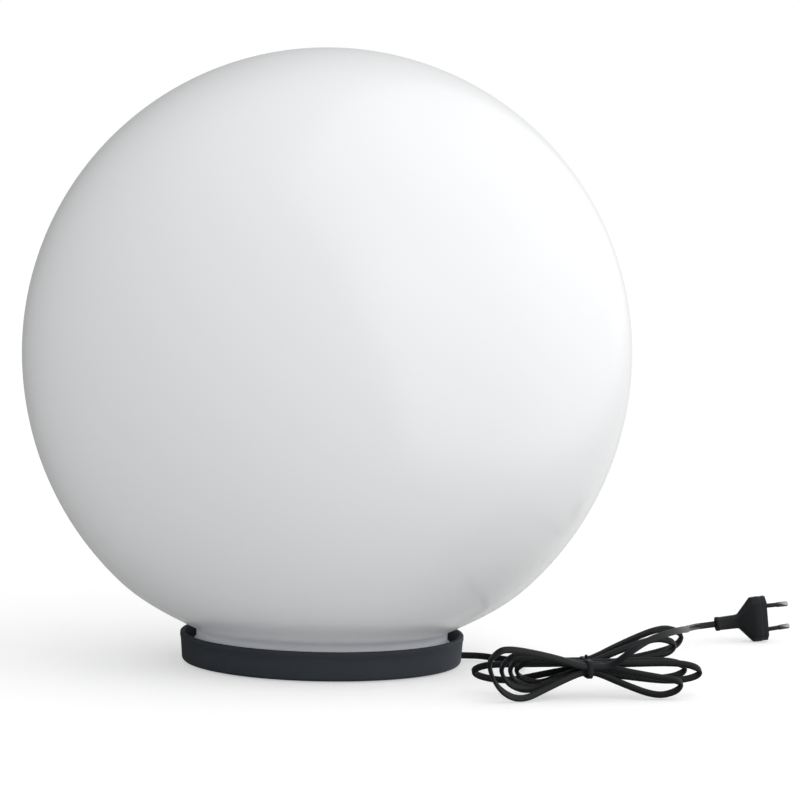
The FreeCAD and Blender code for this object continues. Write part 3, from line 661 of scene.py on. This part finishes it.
rubber = moulded("black_rubber", (0.02, 0.02, 0.021, 1), 0.7, 0.5, 0.04)
seal_rubber = moulded("grey_rubber", (0.55, 0.56, 0.57, 1), 0.55)
white_plastic = moulded("white_plastic", (0.78, 0.78, 0.76, 1), 0.4, vary=0.03)
cream = moulded("cream_insulation", (0.74, 0.70, 0.60, 1), 0.5, vary=0.05)
holder_black = moulded("holder_plastic", (0.022, 0.022, 0.023, 1), 0.35)
plug_black = moulded("plug_plastic", (0.010, 0.0112, 0.0125, 1), 0.38, 0.5, 0.03, Specular_IOR_Level=0.15)
zinc = moulded("zinc_plate", (0.62, 0.62, 0.6, 1), 0.32, 0.4, 0.01, 1.0, 0.06)
spring_steel = moulded("spring_steel", (0.6, 0.6, 0.62, 1), 0.25, 0.3, 0.006, 1.0, 0.05)
brass = moulded("brass", (0.78, 0.57, 0.27, 1), 0.28, 0.4, 0.01, 1.0, 0.08)
nickel = moulded("nickel", (0.34, 0.335, 0.32, 1), 0.24, 0.4, 0.004, 1.0, 0.05)
bulb_metal = moulded("bulb_aluminium", (0.8, 0.8, 0.8, 1), 0.25, 0.4, 0.01, 1.0, 0.04)
glass_black = moulded("black_glass", (0.01, 0.01, 0.012, 1), 0.12, 1.0, 0.01)
bulb_white = moulded("bulb_plastic", (0.82, 0.82, 0.81, 1), 0.3, vary=0.02)
frosted = moulded("frosted_dome", (0.86, 0.86, 0.85, 1), 0.45, 0.4, 0.01, vary=0.02)
board_white = moulded("board_coat", (0.82, 0.82, 0.8, 1), 0.3, vary=0.02)
brown = moulded("brown_core", (0.10, 0.042, 0.018, 1), 0.4)
blue = moulded("blue_core", (0.02, 0.09, 0.36, 1), 0.4)

# %% [markdown]
# ## Plug
#
# The plug is moulded on the lead: a short collar, a neck, and a head with sloped edges all round and
# a shallow step near its face. Its pins lean towards each other a little, and each has a thinner
# black sleeve on its rear half.

# %% Plug
plug_side = plug_up.cross(plug_way)


def plug_section(x, width, thick, edge):
    """An eight-sided section across the plug: flat sides, and edges sloped by 45 degrees."""
    w, t = width / 2, thick / 2
    outline = [(t, edge - w), (t, w - edge), (t - edge, w), (edge - t, w),
               (-t, w - edge), (-t, edge - w), (edge - t, -w), (t - edge, -w)]
    return [(plug_face + plug_way * x + plug_side * y + plug_up * z) * MM for y, z in outline]


plug_shape = loft([plug_section(*numbers) for numbers in [
    (-40.7, 10.6, 8.0, 2.2), (-38.2, 10.65, 8.05, 2.2), (-37.9, 10.0, 7.4, 2.0), (-24.6, 10.4, 7.9, 2.0),
    (-22.2, 11.3, 9.1, 2.2), (-11.7, 34.6, 13.6, 4.6), (-4.9, 35.0, 13.7, 4.6), (-4.5, 34.4, 13.1, 4.4),
    (0.0, 34.8, 13.2, 4.4)]])
plug = finish_mesh(soften(plug_shape, 0.4), "plug_moulding", plug_black, "base", ("plug_body",))

pin_root, pin_tip, pin_apart, pins_closer = -7.8, 19.0, 9.3, 0.55
for number, side in ((1, -1), (2, 1)):
    foot = plug_face + plug_up * (side * pin_apart)
    lean = (plug_way * pin_tip - plug_up * (side * pins_closer)).normalized()
    metal = Outline(0, pin_root).to((1.15, pin_root), (1.15, 10.0), (1.75, 10.0), (2.0, 10.25), (2.0, 17.6))
    metal.arc((0.6, 17.6), -90, 8).to((0, pin_tip))
    pin = stand(metal.turned(40, closed=False), foot, lean)
    finish_mesh(pin, f"pin_{number}", nickel, "base", (f"plug_pin_{number}",),
                                   sharp=50)
    cover = Outline(1.17, pin_root).to((1.7, pin_root), (1.7, 9.7), (1.5, 9.95), (1.17, 9.95))
    sleeve = stand(cover.turned(40), foot, lean)
    finish_mesh(sleeve, f"sleeve_{number}", plug_black, "base",
                                   (f"pin_sleeve_{number}",), sharp=50)

# %% [markdown]
# ## Tie
#
# The tie is one plastic-covered wire. It goes round the bundle once, and above it the two ends are
# twisted round each other. The path has three parts: down one end of the twist, round the bundle, and
# up the other end.

# %% Twist tie
tie_space, tie_corner, band_width, tie_thick = 0.5, 2.6, 4.0, 0.34
tie_deep = len(right_loops) / 2 * (sheet_step + waist_half * fan) + lead_thick / 2 / MM + tie_space
tie_high = row + stagger + lead_width / 2 / MM + tie_space
twist_r, twist_length, twist_steps, band_steps = 0.55, 2.6, 20, 64


def twisted(share, start):
    """A point of one end: share 0 at the foot of the twist, 1 at its tip."""
    angle = start + share * math.tau
    out = behind * math.cos(angle) + along * math.sin(angle)
    broad = along * math.cos(angle) - behind * math.sin(angle)
    spot = out * twist_r + overhead * (tie_high + 0.3 + twist_length * share)
    return spot, broad, out, 3.4 - 1.6 * min(1, share * 4)


def round_bundle(angle):
    """A point of the band, and outward from it, at an angle from the top."""
    y, z = math.sin(angle), math.cos(angle)
    flat_y, flat_z = tie_deep - tie_corner, tie_high - tie_corner
    reach = max(abs(y) / tie_deep, abs(z) / tie_high)
    core = Vector((0, max(-flat_y, min(flat_y, y / reach)), max(-flat_z, min(flat_z, z / reach))))
    out = (Vector((0, y / reach, z / reach)) - core).normalized()
    spot = core + out * tie_corner
    return behind * spot.y + overhead * spot.z, behind * out.y + overhead * out.z


tie_path = [twisted(k / twist_steps, 0) for k in range(twist_steps, 0, -1)]
for k in range(band_steps + 1):
    spot, out = round_bundle(math.tau * (0.012 + 0.976 * k / band_steps))
    tie_path.append((spot + along * (0.5 - k / band_steps), along, out, band_width))
tie_path += [twisted(k / twist_steps, math.pi) for k in range(1, twist_steps + 1)]

tie_section = [(1, 0), (0.8, 1), (0.3, 0.8), (0, 1.1), (-0.3, 0.8), (-0.8, 1), (-1, 0), (-0.8, -1), (0.8, -1)]
tie_rings = [[(hank_place + spot + broad * (width / 2 * u) + out * (tie_thick * v)) * MM
              for u, v in tie_section] for spot, broad, out, width in tie_path]
tie = finish_mesh(loft(tie_rings), "twist_tie", plug_black, "base", ("hank_tie",), sharp=50)

# %% [markdown]
# ## Bulb cap
#
# The screw cap is a thin shell with a rounded thread of 3.63 mm to the turn. The thread is a ridge
# that climbs as it turns: spinning one section of it with a small rise at each step makes the helix.

# %% Screw cap
cap_z, cap_r, pitch, turns = 82.3, 13.2, 3.63, 4.5
steps = int(48 * turns)
shell = Outline(0, cap_z).to(*[(cap_r - inset, cap_z + rise) for inset, rise in [
    (2.4, 0), (0.95, 1.6), (0.95, 20.6), (0, 21.4), (0, 22.2), (0.6, 22.2)]]).turned(64, closed=False)
ridge = []
for k in range(9):
    lift = 0.5 - 0.5 * math.cos(math.tau * k / 8)
    place = Vector((cap_r - 1.05 + lift, 0, cap_z + 1.7 + pitch * 0.9 * k / 8))
    ridge.append(shell.verts.new(place * MM))
ridge_edges = [shell.edges.new(pair) for pair in zip(ridge, ridge[1:])]
bmesh.ops.spin(shell, geom=ridge + ridge_edges, cent=(0, 0, 0), axis=(0, 0, 1), angle=math.tau * turns,
               steps=steps, dvec=(0, 0, pitch * turns * MM / steps))
cap = finish_mesh(shell, "screw_cap", bulb_metal, "bulb", ("bulb_cap",), sharp=50)
print("cap", [round(v, 4) for v in cap.dimensions])

# %% Parts that keep the model's shape
for material, nodes in (
        (seal_rubber, "neck_seal"), (white_plastic, "holder_riser"), (zinc, "nipple locknut"),
        (holder_black, "holder_cap holder_shell"), (cream, "contact_block"),
        (brass, "thread_sleeve centre_contact terminal_1 terminal_2"), (bulb_metal, "bulb_contact"),
        (glass_black, "bulb_insulator"), (bulb_white, "bulb_housing"), (board_white, "bulb_board"),
        (frosted, "bulb_dome"), (vinyl, "inner_cord"), (brown, "core_1"), (blue, "core_2"),
        (rubber, "foot_1 foot_2 foot_3 foot_4"), (spring_steel, "spring_clip_1 spring_clip_2 spring_clip_3")):
    for node in nodes.split():
        polished(node, material)

bpy.context.scene.view_settings.view_transform = "Standard"
